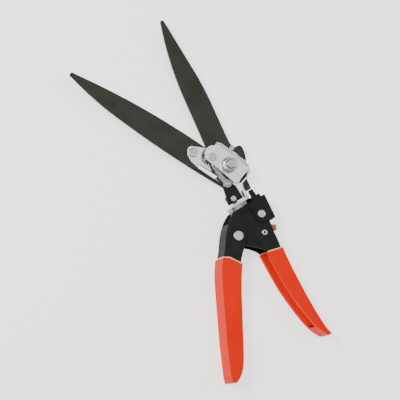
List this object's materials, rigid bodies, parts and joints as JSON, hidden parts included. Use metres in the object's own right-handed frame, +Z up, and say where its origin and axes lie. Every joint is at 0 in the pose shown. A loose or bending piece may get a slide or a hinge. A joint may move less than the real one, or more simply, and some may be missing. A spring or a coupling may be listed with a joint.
{
  "type": "grass shears",
  "caption": "One-hand grass shears lying open on their side: a squeezed lever closes the upper blade through a push rod, and the head swivels.",
  "frame": {"origin": "on the handle pivot's axis, in the plane the tool lies on (the flat lower head of the pivot rivet)", "axes": "+Y forward along the swivel axis to the blade tips, +X to the fixed handle's side, +Z up from the surface to the upper blade"},
  "size_m": [0.129, 0.3343, 0.0293],
  "materials": {
    "body_paint": "satin black enamel",
    "grip_vinyl": "glossy dipped vinyl",
    "blade_coating": "satin non-stick coating",
    "bright_chrome": "bright nickel-chrome plating",
    "zinc_steel": "zinc plated",
    "plain_steel": "turned",
    "spring_steel": "oiled",
    "red_paint": "glossy red"
  },
  "bodies": {
    "handle_body": {"fixed_handle": "body_paint", "fixed_grip": "grip_vinyl", "swivel_bearing": "plain_steel", "lock_rivet": "zinc_steel", "latch_rivet": "zinc_steel", "latch_spacers": "plain_steel", "pivot_rivet": "zinc_steel", "pivot_spacer": "plain_steel"},
    "lever": {"lever_handle": "body_paint", "lever_grip": "grip_vinyl", "drive_arm": "plain_steel"},
    "latch": {"latch": "red_paint"},
    "swivel_lock": {"swivel_lock": "body_paint"},
    "head": {"head_frame": "bright_chrome", "swivel_spindle": "plain_steel", "index_disc": "plain_steel", "spindle_retainer": "plain_steel", "return_spring": "spring_steel", "fixed_blade": "blade_coating", "blade_bolt": "zinc_steel", "far_washer": "zinc_steel", "bolt_nut": "zinc_steel", "blade_rivet": "zinc_steel"},
    "blade": {"moving_blade": "blade_coating", "blade_carrier": "bright_chrome", "clevis_plate": "bright_chrome", "bolt_sleeve": "zinc_steel", "spring_washer": "zinc_steel", "crank_pin": "zinc_steel", "carrier_rivet": "zinc_steel"},
    "rod": {"push_rod": "plain_steel", "drive_yoke": "body_paint", "yoke_screw": "zinc_steel", "yoke_pin": "zinc_steel"},
    "link": {"push_link": "plain_steel"}
  },
  "joints": [
    {"name": "lever_squeeze", "type": "hinge", "parent": "handle_body", "child": "lever", "pos_m": [0, 0, 0.0113], "axis": [0, 0, 1], "range_deg": [0, 24], "stiffness_Nm_per_rad": 0.8, "springref_deg": -14.32},
    {"name": "head_swivel", "type": "hinge", "parent": "handle_body", "child": "head", "pos_m": [0.0175, 0.02, 0.0113], "axis": [0, 1, 0], "range_deg": [-90, 90]},
    {"name": "rod_slide", "type": "slide", "parent": "head", "child": "rod", "axis": [0, 1, 0], "range_m": [0, 0.0053], "deforming": ["return_spring"]},
    {"name": "blade_close", "type": "hinge", "parent": "head", "child": "blade", "pos_m": [0.0269, 0.061, 0.0113], "axis": [0, 0, 1], "range_deg": [-38.5, 0]},
    {"name": "link_swing", "type": "hinge", "parent": "rod", "child": "link", "pos_m": [0.0175, 0.0467, 0.0113], "axis": [0, 0, 1], "range_deg": [-22.5, 0]},
    {"name": "latch_turn", "type": "hinge", "parent": "handle_body", "child": "latch", "pos_m": [0.0251, -0.0099, 0.0113], "axis": [0, 0, 1], "range_deg": [-4, 10]},
    {"name": "lock_tilt", "type": "hinge", "parent": "handle_body", "child": "swivel_lock", "pos_m": [0.0311, 0.0066, 0.0113], "axis": [0, 0, 1], "range_deg": [-8, 0], "stiffness_Nm_per_rad": 0.25, "springref_deg": 5.73}
  ],
  "couplings": [
    {"joint": "rod_slide", "follows": "lever_squeeze", "m_per_rad": 0.012389},
    {"joint": "blade_close", "follows": "lever_squeeze", "ratio": -1.545},
    {"joint": "link_swing", "follows": "lever_squeeze", "ratio": -0.89}
  ]
}
